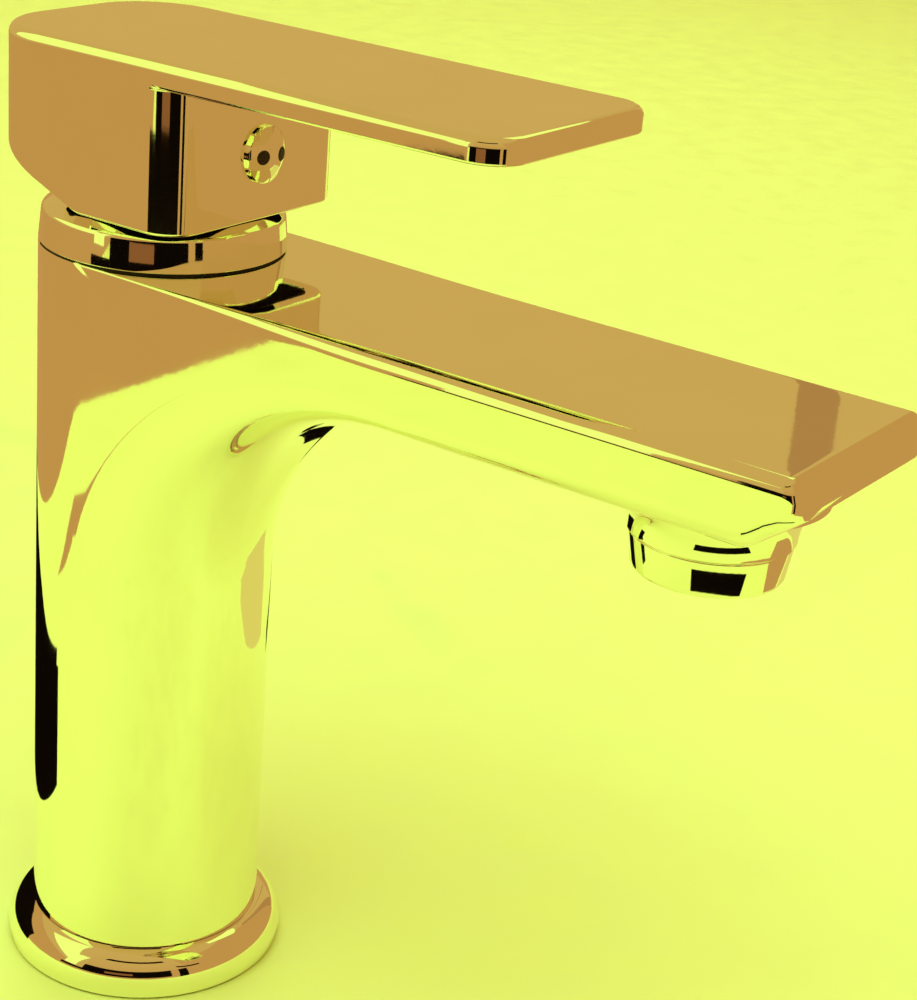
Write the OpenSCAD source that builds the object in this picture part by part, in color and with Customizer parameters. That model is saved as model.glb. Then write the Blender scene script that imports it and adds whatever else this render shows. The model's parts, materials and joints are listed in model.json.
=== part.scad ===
// Single-lever basin mixer: body with a flat spout, trim, ceramic cartridge, lever, outlet and fixings.
// Origin on the column axis at the deck face. +Z is up, the spout and the lever point along -Y.
// All sizes are in millimetres and angles in degrees.

/* [Body] */
// Diameter of the column, and width of the spout
body_d = 45; // [45:0.5:48]
// Height of the flat top of the body above the deck
body_top = 145.5; // [145.5:0.5:165]
// Distance from the column axis to the nose of the spout
spout_reach = 142; // [132:1:160]
// Thickness of the spout between its flat top and its underside
spout_h = 13.5; // [13.5:0.5:18]
// Radius of the arch between the column and the underside of the spout
arch_r = 48; // [40:1:54]
// Height of the body above the arch's centre
arch_drop = 61.5; // [61.5:0.5:68]
// Radius of the long lower edges of the spout
spout_edge_r = 4.5; // [2:0.5:6]
// Distance from the nose of the spout back to the outlet axis
outlet_inset = 24.5; // [22:0.5:30]

/* [Base] */
// Height of the trim ring around the foot
base_ring_h = 9; // [8:0.5:12]
// Outer diameter of the foot of the trim ring
base_ring_d = 54; // [54:0.5:60]
// Distance from the column axis to each hose socket
inlet_x = 8.5; // [8:0.5:9]
// Diameter of the hose sockets (M10 x 1)
inlet_d = 10; // [8:1:10]
// Diameter of the fixing stud (M8)
stud_d = 8; // [6:1:8]
// Thickness of the deck that the fixings clamp
deck_t = 22; // [15:1:40]

/* [Cartridge] */
// Diameter of the ceramic cartridge's housing
cartridge_d = 34.8; // [34:0.1:35]
// Distance from the lever's pivot down to the body top
pivot_drop = 5.5; // [5:0.5:6]
// Distance from the lever's pivot down to the ball that drives the disc
ball_arm = 10; // [9.5:0.1:10]
// Side of the square stem
stem_w = 9; // [8:0.5:9]

/* [Handle] */
// Width of the lever and its block
handle_w = 45.6; // [45.6:0.2:48]
// Height of the lever's flat top above the body top
handle_rise = 38.5; // [38.5:0.5:42]
// Height of the block, from its flat underside to the lever's top
handle_h = 29.6; // [28:0.2:29.6]
// Thickness of the flat lever
blade_t = 4.4; // [4:0.2:6]
// Distance from the column axis to the lever's tip
lever_reach = 87; // [80:1:120]
// Diameter of the index plug in the block's front face
plug_d = 10.5; // [9:0.5:11]

/* [Outlet] */
// Outer diameter of the aerator shell where it meets the spout
aerator_d = 26.8; // [26:0.2:28]
// Visible height of the aerator shell
aerator_h = 6.6; // [5:0.2:9]

/* [Hidden] */
$fn = 96;
eps = 0.01;
fit = 0.05;
// How far a cutter runs past each face that it opens
over = 1;

// Finishes
gold_chrome = "#d8bd6a";
raw_brass = "#b08d3c";
steel = "#9a9a9a";
rubber_black = "#1c1a18";
white_plastic = "#ece7dc";
grey_plastic = "#77736b";
ceramic = "#f4f1ea";

// Body
body_r = body_d / 2;
arch_z = body_top - arch_drop;
arch_y = -(body_r + arch_r);
spout_under = body_top - spout_h;
spout_half = body_r - 0.2;
nose_round = 3;
nose_rise = 7;
nose_l = 9;
chin_y = -spout_reach + nose_l;
outlet_y = -(spout_reach - outlet_inset);
boss_drop = 20.9;
boss_lap = 1;
boss_lip = 0.3;
boss_bottom = body_top - boss_drop;
boss_top = spout_under + boss_lap;
boss_r = aerator_d / 2 + boss_lip;
boss_flare = 3.6;
arch_steps = 6;
corner_steps = 5;
edge_fade = 1.5;
keel_half = 0.5;
root_inset = 0.3;

// Base and the hollow foot
gasket_t = 1.5;
ring_foot_h = 2;
ring_lift = 0.3;
ring_bead_r = 6;
ring_bulge = 0.4;
ring_wall = 0.8;
neck_step = 2.2;
ring_neck_r = body_r - neck_step;
foot_wall = 4;
foot_bore_r = body_r - foot_wall;
deck_plate_z = 78;
inlet_y = -4;
stud_y = 13.5;
stud_r = stud_d / 2;
stud_top = 94;
stud_tail = 36;
stud_point = 1;
inlet_depth = 12;
shoe_r = 21;
shoe_cut_r = 14;
shoe_cut_y = -6;
shoe_hole_play = 0.4;
shoe_gasket_t = 3;
shoe_washer_t = 2.5;
shoe_z = -deck_t - shoe_gasket_t - shoe_washer_t;
fixing_nut_d = 15;
fixing_nut_h = 12;
passage_r = 3.5;
dowel_x = 12.5;
dowel_y = 4;
dowel_depth = 2;
dowel_l = 3;

// Cartridge stack, measured down from the body top
cart_r = cartridge_d / 2;
chamber_play = 0.3;
chamber_r = cart_r + chamber_play;
cart_wall = 1.8;
cart_base_h = 9;
cart_bore_r = cart_r - cart_wall;
pivot_z = body_top - pivot_drop;
ball_z = pivot_z - ball_arm;
ball_r = 2.8;
nut_seat_h = 5.7;
nut_z = body_top - nut_seat_h;
slip_t = 0.8;
housing_top = nut_z - slip_t;
housing_lid = 2.4;
head_play = 0.2;
rotor_flange_z = ball_z + 2.3;
rotor_flange_r = cart_bore_r - 0.3;
rotor_flange_top = housing_top - housing_lid - head_play;
rotor_neck_r = 9.45;
rotor_neck_play = 0.08;
rotor_top = pivot_z + 4.5;
carrier_drop = 4.5;
carrier_rise = 2;
carrier_floor = 1;
carrier_z = ball_z - carrier_drop;
carrier_top = ball_z + carrier_rise;
pocket_half = ball_r + 0.35;
disc_r = 10.8;
moving_disc_t = 4;
moving_disc_z = carrier_z - moving_disc_t;
fixed_disc_t = 4.5;
fixed_disc_z = moving_disc_z - fixed_disc_t;
disc_play = 0.05;
chamber_floor = fixed_disc_z - cart_base_h;
nut_r = 19.4;
nut_bore_r = 12.5;
nut_collar_r = 17.5;
nut_collar_h = 5;
nut_collar_top = body_top + nut_collar_h;
nut_slot_w = 4;
nut_slot_depth = 2.5;
port_x = 8;
port_r = 3;
outlet_port_y = 8;
mixing_y = 2;
mixing_r = 5;
mixing_depth = 2;
seal_groove_r = passage_r + 1.7;
seal_groove_depth = 1.1;
seal_r = passage_r + 1.6;
seal_bore_r = passage_r + 0.1;
riser_inset = 1.5;
riser_y = -(body_r + riser_inset);
riser_r = 3.5;
riser_sump = 4;
gallery_r = 4.5;
gallery_z = spout_under + spout_h / 2;
window_z = chamber_floor + 4;
window_r = 3;
pin_r = 1.5;
pin_l = 17.4;
stem_lug = 4;
stem_neck_r = 2.1;
stem_neck_l = ball_arm - 3;

// Trim cap
seam = 0.8;
cap_bottom = body_top + seam;
cap_mouth_r = 13.4;
cap_rim_h = 5.5;
cap_h = 9.6;
cap_t = 2;

// Handle
lever_top = body_top + handle_rise;
blade_under = lever_top - blade_t;
block_under = lever_top - handle_h;
block_front = -22.5;
block_back = 25.2;
block_front_r = 6.5;
block_back_r = 15;
tip_r = 7;
lift_chamfer = 22;
chamfer_blend = 3;
handle_wall = 3.2;
cavity_front_r = block_front_r - handle_wall;
cavity_back_r = block_back_r - handle_wall;
cavity_top = lever_top - 8;
socket_half = 8;
socket_z = lever_top - 21;
socket_r = stem_w / 2 + fit;
stem_top = lever_top - 11;
plug_z = lever_top - 17.8;
plug_r = plug_d / 2;
plug_rim = 0.8;
plug_dome = 1.7;
mark_r = 1.3;
mark_x = 2.4;
mark_t = 1.2;
mark_sink = 0.5;
mark_pocket = mark_sink + mark_t + 0.1;
screw_r = 2.45;
screw_l = 5;
screw_key_d = 2.9;
screw_key_depth = 2.5;

// Outlet
thread_r = 11.9;
aerator_bottom = boss_bottom - aerator_h;
aerator_thread_h = 5.4;
aerator_seat_gap = 0.1;
aerator_tip_r = aerator_d / 2 - 1;
aerator_bore_r = 10.4;
outlet_bore_top = boss_bottom + 7.4;
outlet_bore_r = 7.5;
washer_bore_r = 8;
washer_t = 1.5;
insert_z = aerator_bottom + 0.6;
insert_h = 5;
regulator_z = insert_z + insert_h + 0.2;
regulator_h = 4.5;

module tube(r_out, r_in, z0, z1) {
    difference() {
        translate([0, 0, z0]) cylinder(r = r_out, h = z1 - z0);
        translate([0, 0, z0 - over]) cylinder(r = r_in, h = z1 - z0 + 2 * over);
    }
}

// A rod along X or Y, centred on its length
module rod_x(r, l) { rotate([0, 90, 0]) cylinder(r = r, h = l, center = true); }
module rod_y(r, l) { rotate([90, 0, 0]) cylinder(r = r, h = l, center = true); }

// Extrudes a side view drawn as (y, z) across the width w
module across(w) {
    translate([-w / 2, 0, 0]) rotate([90, 0, 90]) linear_extrude(w) children();
}

// Plan outline with its own corner radius at the front (y0) and at the back (y1)
module plan_outline(w, y0, y1, r0, r1) {
    translate([-w / 2, y0 + r0]) square([w, y1 - y0 - r0 - r1]);
    translate([-w / 2 + r0, y0]) square([w - 2 * r0, r0 + eps]);
    translate([-w / 2 + r1, y1 - r1 - eps]) square([w - 2 * r1, r1 + eps]);
    for (s = [-1, 1]) {
        translate([s * (w / 2 - r0), y0 + r0]) circle(r = r0);
        translate([s * (w / 2 - r1), y1 - r1]) circle(r = r1);
    }
}

// Outline of one section: square corners outside (high), rounded corners inside (low)
function outline(half, high, low, c) = concat(
    [[-half, high], [half, high]],
    [for (i = [0:corner_steps]) let (t = 90 * i / corner_steps)
        [half - c + c * cos(t), low + c - c * sin(t)]],
    [for (i = [0:corner_steps]) let (t = 90 * i / corner_steps)
        [-half + c - c * sin(t), low + c - c * cos(t)]]
);

// Section of the arch, in a plane turned by a about the arch's centre line. The first is inside the column
function arch_outer(a) = min(-arch_y / max(cos(a), eps), arch_drop / max(sin(a), eps));
function arch_corner(a) = spout_edge_r + (spout_half - spout_edge_r - keel_half) * pow(cos(a), edge_fade);
function arch_section(a) = [
    for (p = outline(spout_half, arch_outer(a), arch_r + (a > 0 ? 0 : root_inset), arch_corner(a)))
        [p[0], arch_y + p[1] * cos(a), arch_z + p[1] * sin(a)]
];

// Section of the spout at y; t turns from 0 where the nose starts to round to 90 at its face
function chin(y) = spout_under + nose_rise * max(0, chin_y - y) / (chin_y + spout_reach);
function spout_section(y, t) =
    let (inset = nose_round * (1 - cos(t)), high = body_top - inset, low = chin(y))
    let (corner = min(spout_edge_r, 0.45 * (high - low)))
    [for (p = outline(spout_half - inset, high, low, corner)) [p[0], y, p[1]]];

// The spout, lofted from inside the column through the arch to the nose
module spout() {
    count = 2 * corner_steps + 4;
    nose_y = -spout_reach + nose_round;
    root_a = atan2(arch_drop, -arch_y);
    sections = concat(
        [for (k = [0:arch_steps - 1]) arch_section(root_a * k / arch_steps)],
        [for (k = [0:arch_steps]) arch_section(root_a + (90 - root_a) * k / arch_steps)],
        [spout_section(chin_y, 0), spout_section((chin_y + nose_y) / 2, 0)],
        [for (t = [0:15:90]) spout_section(nose_y - nose_round * sin(t), t)]
    );
    ends = len(sections) - 1;
    sides = [for (k = [0:ends - 1]) for (i = [0:count - 1])
        [k * count + i, k * count + (i + 1) % count, (k + 1) * count + (i + 1) % count, (k + 1) * count + i]];
    first = [for (i = [count - 1:-1:0]) i];
    last = [for (i = [0:count - 1]) ends * count + i];
    polyhedron(points = [for (s = sections) each s], faces = concat(sides, [first], [last]), convexity = 6);
}

// Water passages from the hose sockets to the cartridge, and on to the outlet
module waterways() {
    for (s = [-1, 1]) {
        translate([s * inlet_x, inlet_y, deck_plate_z]) {
            translate([0, 0, -over]) cylinder(d = inlet_d, h = inlet_depth + over);
            cylinder(r = passage_r, h = chamber_floor - deck_plate_z + over);
        }
    }
    translate([0, (riser_y - chamber_r) / 2, window_z]) rod_y(window_r, -riser_y - chamber_r + 4);
    translate([0, riser_y, window_z - riser_sump])
        cylinder(r = riser_r, h = gallery_z - window_z + riser_sump);
    translate([0, (riser_y + outlet_y) / 2, gallery_z]) rod_y(gallery_r, riser_y - outlet_y);
    translate([0, outlet_y, outlet_bore_top - over])
        cylinder(r = outlet_bore_r, h = gallery_z - outlet_bore_top + over);
}

// The two dowels that key the cartridge to the chamber floor; play widens them and deeper lowers them
module dowels(play, deeper) {
    for (s = [-1, 1]) translate([s * dowel_x, dowel_y, chamber_floor - dowel_depth - deeper])
        cylinder(r = pin_r + play, h = dowel_l);
}

module body_casting() {
    color(gold_chrome) difference() {
        union() {
            translate([0, 0, base_ring_h]) cylinder(r = body_r, h = body_top - base_ring_h);
            translate([0, 0, gasket_t]) cylinder(r = ring_neck_r - fit, h = base_ring_h - gasket_t + 1);
            spout();
            translate([0, outlet_y, boss_bottom])
                cylinder(r1 = boss_r, r2 = boss_r + boss_flare, h = boss_top - boss_bottom);
        }
        translate([0, 0, gasket_t - over]) cylinder(r = foot_bore_r, h = deck_plate_z - gasket_t + over);
        translate([0, 0, chamber_floor]) cylinder(r = chamber_r, h = nut_z - chamber_floor + over);
        translate([0, 0, nut_z]) cylinder(r = nut_r + fit, h = body_top - nut_z + over);
        translate([0, stud_y, deck_plate_z - over])
            cylinder(r = stud_r + fit, h = stud_top - deck_plate_z + 2 * over);
        translate([0, outlet_y, boss_bottom - over])
            cylinder(r = thread_r + fit, h = outlet_bore_top - boss_bottom + over);
        waterways();
        dowels(0.1, 0.2);
    }
}

// Trim ring: a convex bead over a short straight foot, with a recess for the gasket underneath
module base_ring() {
    foot_r = base_ring_d / 2;
    bead_z = base_ring_h - ring_bead_r;
    bead_y = foot_r + ring_bulge - ring_bead_r;
    color(gold_chrome) rotate_extrude() difference() {
        union() {
            translate([ring_neck_r, ring_lift]) square([foot_r - ring_neck_r, ring_foot_h - ring_lift]);
            translate([ring_neck_r, ring_foot_h - eps])
                square([bead_y - ring_neck_r, base_ring_h - ring_foot_h + eps]);
            intersection() {
                translate([bead_y, bead_z]) circle(r = ring_bead_r);
                translate([bead_y - over, ring_foot_h]) square([ring_bead_r + 2 * over, base_ring_h]);
            }
        }
        square([foot_r - ring_wall, gasket_t + 0.1]);
    }
}

module base_gasket() {
    color(rubber_black) tube(base_ring_d / 2 - 1, foot_bore_r, 0, gasket_t);
}

module fixing_stud() {
    tail_z = -deck_t - stud_tail;
    color(steel) translate([0, stud_y, tail_z + stud_point]) {
        cylinder(r = stud_r, h = stud_top - tail_z - stud_point);
        translate([0, 0, -stud_point]) cylinder(r1 = stud_r - stud_point, r2 = stud_r, h = stud_point);
    }
}

module fixing_nut() {
    color(raw_brass) translate([0, stud_y, shoe_z - fixing_nut_h]) difference() {
        cylinder(d = fixing_nut_d, h = fixing_nut_h, $fn = 6);
        translate([0, 0, -over]) cylinder(r = stud_r + fit, h = fixing_nut_h + 2 * over);
    }
}

// A round plate cut open towards the front, so the hoses pass, with a hole for the stud
module horseshoe(z, t) {
    cut_h = t + 2 * over;
    translate([0, 0, z]) difference() {
        cylinder(r = shoe_r, h = t);
        translate([0, 0, -over]) {
            translate([0, shoe_cut_y, 0]) cylinder(r = shoe_cut_r, h = cut_h);
            translate([-shoe_cut_r, shoe_cut_y - shoe_r, 0]) cube([2 * shoe_cut_r, shoe_r, cut_h]);
            translate([0, stud_y, 0]) cylinder(r = stud_r + shoe_hole_play, h = cut_h);
        }
    }
}

module horseshoe_gasket() { color(rubber_black) horseshoe(-deck_t - shoe_gasket_t, shoe_gasket_t); }

module horseshoe_washer() { color(steel) horseshoe(shoe_z, shoe_washer_t); }

module cap_seal() { color(rubber_black) tube(body_r - 0.5, nut_r + 0.3, body_top, cap_bottom); }

// Domed cover that hides the cartridge nut; its rim drops away so that the block's sides clear it
module trim_cap() {
    color(gold_chrome) rotate_extrude() polygon([
        [nut_collar_r + fit, cap_bottom],
        [body_r, cap_bottom],
        [body_r - 0.6, cap_bottom + cap_rim_h],
        [body_r - 1.2, cap_bottom + cap_rim_h + 0.7],
        [body_r - 2.9, cap_bottom + cap_rim_h + 1.6],
        [cap_mouth_r, cap_bottom + cap_h],
        [cap_mouth_r, cap_bottom + cap_h - cap_t],
        [nut_collar_r + fit, cap_bottom + nut_collar_h + 0.2]
    ]);
}

module cartridge_nut() {
    color(raw_brass) difference() {
        union() {
            translate([0, 0, nut_z]) cylinder(r = nut_r, h = body_top - nut_z);
            translate([0, 0, nut_z]) cylinder(r = nut_collar_r, h = nut_collar_top - nut_z);
        }
        translate([0, 0, nut_z - over]) cylinder(r = nut_bore_r, h = nut_collar_top - nut_z + 2 * over);
        for (a = [0:60:300]) rotate(a)
            translate([nut_bore_r - over, -nut_slot_w / 2, nut_collar_top - nut_slot_depth])
                cube([nut_slot_depth + over, nut_slot_w, nut_slot_depth + over]);
    }
}

module slip_washer() { color(white_plastic) tube(cart_r - 0.2, nut_bore_r, housing_top, nut_z); }

module cartridge_housing() {
    color(grey_plastic) difference() {
        translate([0, 0, fixed_disc_z]) cylinder(r = cart_r, h = housing_top - fixed_disc_z);
        translate([0, 0, fixed_disc_z - over])
            cylinder(r = cart_bore_r, h = housing_top - housing_lid - fixed_disc_z + over);
        translate([0, 0, housing_top - housing_lid - over])
            cylinder(r = rotor_neck_r + rotor_neck_play, h = housing_lid + 2 * over);
    }
}

module cartridge_base() {
    color(white_plastic) difference() {
        union() {
            translate([0, 0, chamber_floor]) cylinder(r = cart_r, h = fixed_disc_z - chamber_floor);
            dowels(0, 0);
        }
        for (s = [-1, 1]) translate([s * port_x, inlet_y, chamber_floor - over]) {
            cylinder(r = passage_r - 0.2, h = cart_base_h + 2 * over);
            cylinder(r = seal_groove_r, h = seal_groove_depth + over);
        }
        translate([0, outlet_port_y, window_z - 2]) cylinder(r = passage_r, h = cart_base_h);
        translate([-window_r, -cart_r - over, window_z - 2])
            cube([2 * window_r, cart_r + outlet_port_y + over, 2 * window_r]);
    }
}

// The two rings that seal the hot and cold ports against the chamber floor
module cartridge_seals() {
    color(rubber_black) for (s = [-1, 1]) translate([s * port_x, inlet_y, 0])
        tube(seal_r, seal_bore_r, chamber_floor, chamber_floor + seal_groove_depth - 0.1);
}

module fixed_ceramic_disc() {
    color(ceramic) difference() {
        translate([0, 0, fixed_disc_z]) cylinder(r = cart_bore_r - 0.1, h = fixed_disc_t - disc_play);
        for (port = [[-port_x, inlet_y], [port_x, inlet_y], [0, outlet_port_y]])
            translate([port[0], port[1], fixed_disc_z - over])
                cylinder(r = port_r, h = fixed_disc_t + 2 * over);
    }
}

module moving_ceramic_disc() {
    color(ceramic) difference() {
        translate([0, 0, moving_disc_z]) cylinder(r = disc_r, h = moving_disc_t);
        translate([0, mixing_y, moving_disc_z - over]) cylinder(r = mixing_r, h = mixing_depth + over);
    }
}

module disc_carrier() {
    color(white_plastic) difference() {
        translate([0, 0, carrier_z]) cylinder(r = disc_r, h = carrier_top - carrier_z);
        translate([-pocket_half, -pocket_half, carrier_z + carrier_floor])
            cube([2 * pocket_half, 2 * pocket_half, carrier_top - carrier_z]);
    }
}

// Turning head of the cartridge: a flange under the lid and a slotted neck that holds the pivot pin
module cartridge_rotor() {
    slot_w = stem_w + 0.4;
    slot_front = -7.8;
    slot_back = 7.6;
    color(white_plastic) difference() {
        union() {
            translate([0, 0, rotor_flange_z])
                cylinder(r = rotor_flange_r, h = rotor_flange_top - rotor_flange_z);
            translate([0, 0, rotor_flange_z]) cylinder(r = rotor_neck_r, h = rotor_top - rotor_flange_z);
        }
        translate([-slot_w / 2, slot_front, rotor_flange_z - over])
            cube([slot_w, slot_back - slot_front, rotor_top]);
        translate([0, 0, pivot_z]) rod_x(pin_r, body_d);
    }
}

module pivot_pin() { color(steel) translate([0, 0, pivot_z]) rod_x(pin_r, pin_l); }

module cartridge_stem() {
    color(raw_brass) difference() {
        union() {
            translate([-stem_w / 2, -stem_w / 2, pivot_z - stem_lug])
                cube([stem_w, stem_w, stem_top - pivot_z + stem_lug]);
            translate([0, 0, ball_z]) cylinder(r = stem_neck_r, h = stem_neck_l);
            translate([0, 0, ball_z]) sphere(r = ball_r);
        }
        translate([0, 0, pivot_z]) rod_x(pin_r + fit, body_d);
    }
}

// Side view of the lever and its block; the rear underside slopes up so that the lever can lift
module handle_side() {
    slope = tan(lift_chamfer);
    polygon([
        [-lever_reach, lever_top],
        [-lever_reach, blade_under],
        [block_front, blade_under],
        [block_front, block_under],
        [-chamfer_blend, block_under],
        [chamfer_blend, block_under + chamfer_blend * slope],
        [block_back, block_under + block_back * slope],
        [block_back, lever_top]
    ]);
}

module handle_solid() {
    intersection() {
        across(handle_w) handle_side();
        union() {
            translate([0, 0, blade_under - eps]) linear_extrude(blade_t + over)
                plan_outline(handle_w, -lever_reach, block_back, tip_r, block_back_r);
            translate([0, 0, block_under - over]) linear_extrude(handle_h)
                plan_outline(handle_w, block_front, block_back, block_front_r, block_back_r);
        }
    }
}

module lever_handle() {
    cavity_w = handle_w - 2 * handle_wall;
    cavity_front = block_front + handle_wall;
    cavity_back = block_back - handle_wall;
    screw_hole_l = 12;
    color(gold_chrome) difference() {
        handle_solid();
        difference() {
            translate([0, 0, block_under - over]) linear_extrude(cavity_top - block_under + over)
                plan_outline(cavity_w, cavity_front, cavity_back, cavity_front_r, cavity_back_r);
            translate([-socket_half, -socket_half, socket_z])
                cube([2 * socket_half, 2 * socket_half, handle_h]);
        }
        translate([-socket_r, -socket_r, socket_z - over])
            cube([2 * socket_r, 2 * socket_r, stem_top - socket_z + over + 0.1]);
        translate([0, block_front, plug_z]) rod_y(plug_r + fit, 2 * handle_wall + over);
        translate([0, -stem_w / 2 - 3, plug_z]) rod_y(screw_r + fit, screw_hole_l);
    }
}

module set_screw() {
    tip_gap = 0.02;
    color(steel) translate([0, -stem_w / 2 - tip_gap, plug_z]) difference() {
        translate([0, -screw_l / 2, 0]) rod_y(screw_r, screw_l);
        translate([0, -screw_l - over, 0]) rotate([-90, 0, 0])
            cylinder(d = screw_key_d, h = screw_key_depth + over, $fn = 6);
    }
}

// Round button that closes the screw hole, domed at the front, with pockets for the two marks
module index_plug() {
    dome_r = (plug_r * plug_r + plug_dome * plug_dome) / (2 * plug_dome);
    crown = block_front - plug_rim - plug_dome;
    color(gold_chrome) difference() {
        intersection() {
            translate([0, crown + dome_r, plug_z]) sphere(r = dome_r);
            translate([0, block_front, plug_z]) rod_y(plug_r, 2 * handle_wall);
        }
        for (s = [-1, 1]) translate([s * mark_x, crown, plug_z]) rod_y(mark_r + fit, 2 * mark_pocket);
    }
}

module mark(side) {
    crown = block_front - plug_rim - plug_dome;
    translate([side * mark_x, crown + mark_sink + mark_t / 2, plug_z]) rod_y(mark_r, mark_t);
}

module hot_mark() { color("#30100c") mark(-1); }

module cold_mark() { color("#14121c") mark(1); }

module aerator_shell() {
    color(gold_chrome) translate([0, outlet_y, 0]) difference() {
        union() {
            translate([0, 0, aerator_bottom])
                cylinder(r1 = aerator_tip_r, r2 = aerator_d / 2, h = aerator_h - aerator_seat_gap);
            translate([0, 0, aerator_bottom + 1])
                cylinder(r = thread_r, h = aerator_h - 1 + aerator_thread_h);
        }
        translate([0, 0, aerator_bottom - over])
            cylinder(r = aerator_bore_r, h = aerator_h + aerator_thread_h + 2 * over);
    }
}

// Honeycomb that straightens the stream: a rim around a grid of hexagonal cells
module aerator_insert() {
    pitch = 3.1;
    cell_d = 2.9;
    rim_r = aerator_bore_r - 0.05;
    rim_t = 1;
    reach = rim_r - rim_t - cell_d / 2;
    rows = 3;
    color(grey_plastic) translate([0, outlet_y, insert_z]) difference() {
        cylinder(r = rim_r, h = insert_h);
        for (i = [-rows:rows]) for (j = [-rows:rows]) {
            x = (i + j / 2) * pitch;
            y = j * pitch * sin(60);
            if (norm([x, y]) < reach) translate([x, y, -over]) rotate(30)
                cylinder(d = cell_d, h = insert_h + 2 * over, $fn = 6);
        }
    }
}

module aerator_washer() {
    z0 = boss_bottom + aerator_thread_h;
    color(rubber_black) translate([0, outlet_y, 0]) tube(thread_r - 0.2, washer_bore_r, z0, z0 + washer_t);
}

module flow_regulator() {
    hole_ring_r = 6;
    hole_r = 1.3;
    dish_r = 4;
    dish_depth = 1.5;
    color(white_plastic) translate([0, outlet_y, regulator_z]) difference() {
        cylinder(r = aerator_bore_r - 0.1, h = regulator_h);
        for (a = [0:45:315]) rotate(a) translate([hole_ring_r, 0, -over])
            cylinder(r = hole_r, h = regulator_h + 2 * over);
        translate([0, 0, regulator_h - dish_depth]) cylinder(r = dish_r, h = dish_depth + over);
    }
}

body_casting();
base_ring();
base_gasket();
fixing_stud();
fixing_nut();
horseshoe_washer();
horseshoe_gasket();
cap_seal();
trim_cap();
cartridge_nut();
slip_washer();
cartridge_housing();
cartridge_base();
cartridge_seals();
fixed_ceramic_disc();
moving_ceramic_disc();
disc_carrier();
cartridge_rotor();
pivot_pin();
cartridge_stem();
lever_handle();
set_screw();
index_plug();
hot_mark();
cold_mark();
aerator_shell();
aerator_insert();
aerator_washer();
flow_regulator();
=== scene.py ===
import json
import math

import bmesh
import bpy
import numpy as np
from mathutils import Matrix, Vector


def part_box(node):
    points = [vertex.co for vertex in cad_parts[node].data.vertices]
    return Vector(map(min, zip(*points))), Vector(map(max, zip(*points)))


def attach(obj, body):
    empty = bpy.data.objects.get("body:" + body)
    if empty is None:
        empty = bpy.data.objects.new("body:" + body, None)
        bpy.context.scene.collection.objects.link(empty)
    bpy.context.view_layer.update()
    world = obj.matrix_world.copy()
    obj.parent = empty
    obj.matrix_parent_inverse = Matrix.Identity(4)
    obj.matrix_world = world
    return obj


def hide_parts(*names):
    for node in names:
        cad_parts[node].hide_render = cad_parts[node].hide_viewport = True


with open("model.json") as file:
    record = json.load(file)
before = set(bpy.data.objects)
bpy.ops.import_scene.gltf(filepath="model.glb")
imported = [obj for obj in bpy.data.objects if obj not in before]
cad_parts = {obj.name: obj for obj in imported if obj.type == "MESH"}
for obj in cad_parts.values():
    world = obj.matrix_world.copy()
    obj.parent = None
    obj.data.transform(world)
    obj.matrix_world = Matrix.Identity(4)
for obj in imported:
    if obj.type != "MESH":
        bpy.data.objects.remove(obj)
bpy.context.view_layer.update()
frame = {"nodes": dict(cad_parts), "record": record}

# Lengths are in millimetres up to the point where a mesh is made, unless a comment says metres
MM = 0.001

# Main dimensions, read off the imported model
casting_low, casting_high = (np.array(corner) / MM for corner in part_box("body_casting"))
handle_low, handle_high = (np.array(corner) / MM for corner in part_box("lever_handle"))
ring_high = np.array(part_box("base_ring")[1]) / MM
cap_low = np.array(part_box("trim_cap")[0]) / MM
shell_low, shell_high = (np.array(corner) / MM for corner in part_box("aerator_shell"))
plug_low, plug_high = (np.array(corner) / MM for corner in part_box("index_plug"))
body_r = casting_high[0]
body_top = casting_high[2]
nose_y = casting_low[1]
outlet_y = (shell_low[1] + shell_high[1]) / 2

# Dimensions of the casting that the model's box doesn't give
ARCH_R = 48.0
ARCH_DROP = 61.5
SPOUT_H = 13.5
SPOUT_EDGE_R = 4.5
TOP_EDGE_R = 2.6
ROOT_EDGE_R = 0.35
FOOT_BORE_R = 18.5
DECK_PLATE_Z = 78.0
NECK_R = body_r - 2.25
CHIN_LENGTH = 9.0
CHIN_RISE = 7.0
CHIN_BLEND = 1.6
NOSE_R = 3.0
# How much faster than its top the nose narrows as it rounds over
NOSE_TAPER = 1.15
# The largest share of the nose's height that one of its corners may take
CORNER_SHARE = 0.42
# Where the spout's top edges start to round, and how long they take to reach their full radius
EDGE_START, EDGE_LENGTH = 8.0, 60.0
BOSS_DROP = 20.9
# Radius of the outlet's thread
THREAD_R = 11.9
arch_y = -(body_r + ARCH_R)
arch_z = body_top - ARCH_DROP
spout_under = body_top - SPOUT_H


# ---------------------------------------------------------------- mesh helpers

SHARP_DEG = 30.0
SOFTENED_DEG = 35.0
WELD = 2e-6
TINY = 1e-7
FULL_TURN = 2 * math.pi
QUARTER = math.pi / 2


def new_object(name, verts, faces):
    """A closed mesh in metres, from vertices in millimetres, smooth except at its sharp edges."""
    mesh = bpy.data.meshes.new(name)
    mesh.from_pydata([tuple(v) for v in np.asarray(verts) * MM], [], faces)
    mesh.validate()
    obj = bpy.data.objects.new(name, mesh)
    bpy.context.scene.collection.objects.link(obj)
    clean(mesh)
    mesh.shade_smooth()
    mesh.set_sharp_from_angle(angle=math.radians(SHARP_DEG))
    return obj


def clean(mesh):
    """Welds coincident points, drops the faces that vanish with them, and turns every face outward."""
    bm = bmesh.new()
    bm.from_mesh(mesh)
    bmesh.ops.remove_doubles(bm, verts=bm.verts, dist=WELD)
    bmesh.ops.dissolve_degenerate(bm, edges=bm.edges, dist=TINY)
    bmesh.ops.recalc_face_normals(bm, faces=bm.faces)
    bm.to_mesh(mesh)
    bm.free()


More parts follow.
